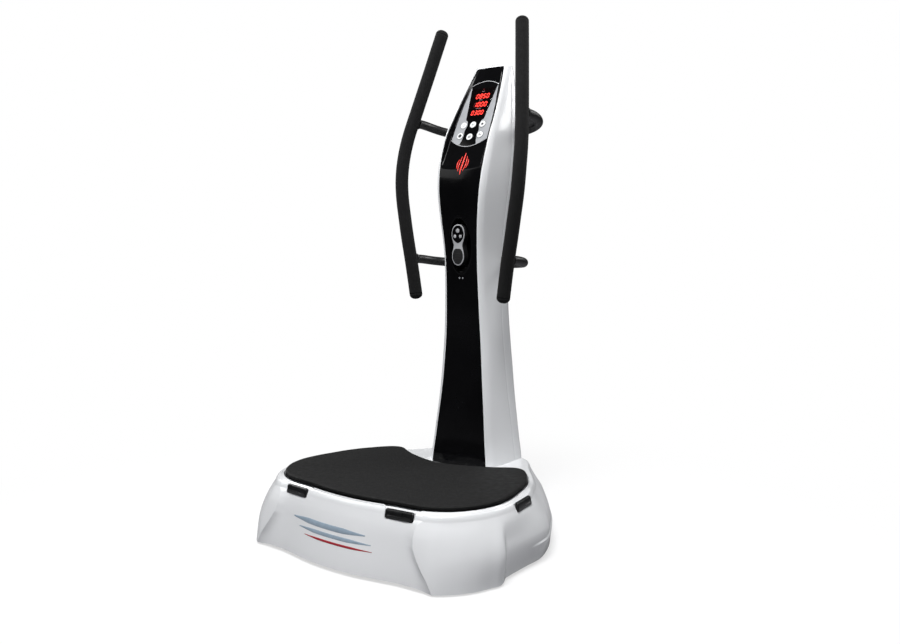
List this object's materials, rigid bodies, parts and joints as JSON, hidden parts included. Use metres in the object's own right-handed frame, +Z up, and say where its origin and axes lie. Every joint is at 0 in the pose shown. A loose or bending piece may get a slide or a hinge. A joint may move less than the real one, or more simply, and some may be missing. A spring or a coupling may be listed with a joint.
{
  "type": "vibration plate",
  "caption": "Standing vibration plate: a see-saw platform in a moulded base, a slim column with a sloping console and remote control, and two padded side handlebars.",
  "frame": {"origin": "on the floor under the middle of the base", "axes": "+X to the right of a person facing the column, +Y from the person towards the column, +Z up"},
  "size_m": [0.7851, 0.7275, 1.4336],
  "materials": {
    "white_shell": "gloss",
    "black_steel": "matte",
    "frame_steel": "satin",
    "black_rubber": "matte",
    "zinc_steel": "satin",
    "black_plastic": "matte",
    "cast_housing": "matte",
    "motor_alloy": "satin",
    "circuit_board": "satin",
    "red_rocker": "gloss",
    "gloss_black_panel": "gloss",
    "silver_overlay": "satin",
    "smoked_window": "gloss",
    "red_led": "gloss",
    "black_tube": "satin",
    "black_foam": "matte",
    "plate_alloy": "satin",
    "black_mat": "matte",
    "bright_steel": "satin",
    "white_button": "gloss",
    "silver_key": "satin"
  },
  "bodies": {
    "root": {"base_cover": "white_shell", "base_tray": "black_steel", "chassis_frame": "frame_steel", "rubber_feet": "black_rubber", "foot_screws": "zinc_steel", "strap_anchors_front": "black_plastic", "strap_anchors_side": "black_plastic", "pivot_bearings": "cast_housing", "shaft_bearings": "cast_housing", "motor_housing": "motor_alloy", "motor_bracket": "frame_steel", "drive_belt": "black_rubber", "control_board": "circuit_board", "power_inlet": "black_plastic", "mast_tube": "frame_steel", "frame_bolts": "zinc_steel", "column_shell": "white_shell", "column_rear_cover": "white_shell", "rear_cover_screws": "zinc_steel", "front_panel": "gloss_black_panel", "console_overlay": "silver_overlay", "display_window": "smoked_window", "led_modules": "red_led", "console_board": "circuit_board", "remote_holder": "black_plastic", "handlebar_tube_left": "black_tube", "handlebar_tube_right": "black_tube", "foam_grip_left": "black_foam", "foam_grip_right": "black_foam", "handlebar_end_caps": "black_foam", "bracket_upper_left": "black_tube", "bracket_upper_right": "black_tube", "bracket_lower_left": "black_tube", "bracket_lower_right": "black_tube"},
    "platform": {"platform_plate": "plate_alloy", "platform_mat": "black_mat", "platform_subframe": "frame_steel", "pivot_shaft": "bright_steel", "plate_screws": "zinc_steel", "rod_pins": "bright_steel"},
    "con_rod_left": {"con_rod_left": "cast_housing"},
    "con_rod_right": {"con_rod_right": "cast_housing"},
    "drive_shaft": {"eccentric_shaft": "bright_steel", "eccentric_bearings": "bright_steel", "driven_pulley": "motor_alloy"},
    "motor_rotor": {"motor_rotor": "bright_steel", "motor_pulley": "motor_alloy"},
    "remote": {"remote_body": "black_plastic", "remote_trim": "silver_overlay", "remote_battery": "bright_steel"},
    "remote_key_top": {"remote_key_top": "silver_key"},
    "remote_key_left": {"remote_key_left": "silver_key"},
    "remote_key_right": {"remote_key_right": "silver_key"},
    "power_rocker": {"power_rocker": "red_rocker"},
    "button_mode": {"button_mode": "white_button"},
    "button_start": {"button_start": "white_button"},
    "button_stop": {"button_stop": "white_button"},
    "button_speed_down": {"button_speed_down": "white_button"},
    "button_program": {"button_program": "white_button"},
    "button_speed_up": {"button_speed_up": "white_button"}
  },
  "joints": [
    {"name": "plate_tilt", "type": "hinge", "parent": "root", "child": "platform", "pos_m": [0, -0.05, 0.126], "axis": [0, 1, 0], "range_deg": [-1.4, 1.4]},
    {"name": "con_rod_left_swing", "type": "hinge", "parent": "platform", "child": "con_rod_left", "pos_m": [-0.15, -0.1, 0.132], "axis": [1, 0, 0], "range_deg": [-3, 3]},
    {"name": "con_rod_right_swing", "type": "hinge", "parent": "platform", "child": "con_rod_right", "pos_m": [0.15, -0.1, 0.132], "axis": [1, 0, 0], "range_deg": [-3, 3]},
    {"name": "shaft_spin", "type": "hinge", "parent": "root", "child": "drive_shaft", "pos_m": [0, -0.1, 0.072], "axis": [1, 0, 0], "continuous": true},
    {"name": "motor_spin", "type": "hinge", "parent": "root", "child": "motor_rotor", "pos_m": [0, 0.06, 0.063], "axis": [1, 0, 0], "continuous": true},
    {"name": "remote_lift_out", "type": "slide", "parent": "root", "child": "remote", "axis": [0, -1, 0], "range_m": [0, 0.08]},
    {"name": "power_switch", "type": "hinge", "parent": "root", "child": "power_rocker", "pos_m": [0.012, 0.354, 0.068], "axis": [1, 0, 0], "range_deg": [0, 12]},
    {"name": "button_mode_press", "type": "slide", "parent": "root", "child": "button_mode", "axis": [0, 0.8944, -0.4472], "range_m": [0, 0.0008], "stiffness_N_per_m": 1500},
    {"name": "button_start_press", "type": "slide", "parent": "root", "child": "button_start", "axis": [0, 0.8944, -0.4472], "range_m": [0, 0.0008], "stiffness_N_per_m": 1500},
    {"name": "button_stop_press", "type": "slide", "parent": "root", "child": "button_stop", "axis": [0, 0.8944, -0.4472], "range_m": [0, 0.0008], "stiffness_N_per_m": 1500},
    {"name": "button_speed_down_press", "type": "slide", "parent": "root", "child": "button_speed_down", "axis": [0, 0.8944, -0.4472], "range_m": [0, 0.0008], "stiffness_N_per_m": 1500},
    {"name": "button_program_press", "type": "slide", "parent": "root", "child": "button_program", "axis": [0, 0.8944, -0.4472], "range_m": [0, 0.0008], "stiffness_N_per_m": 1500},
    {"name": "button_speed_up_press", "type": "slide", "parent": "root", "child": "button_speed_up", "axis": [0, 0.8944, -0.4472], "range_m": [0, 0.0008], "stiffness_N_per_m": 1500},
    {"name": "remote_key_top_press", "type": "slide", "parent": "remote", "child": "remote_key_top", "axis": [0, 1, 0], "range_m": [0, 0.0006], "stiffness_N_per_m": 800},
    {"name": "remote_key_left_press", "type": "slide", "parent": "remote", "child": "remote_key_left", "axis": [0, 1, 0], "range_m": [0, 0.0006], "stiffness_N_per_m": 800},
    {"name": "remote_key_right_press", "type": "slide", "parent": "remote", "child": "remote_key_right", "axis": [0, 1, 0], "range_m": [0, 0.0006], "stiffness_N_per_m": 800}
  ],
  "couplings": [
    {"joint": "motor_spin", "follows": "shaft_spin", "ratio": 2.3333}
  ]
}
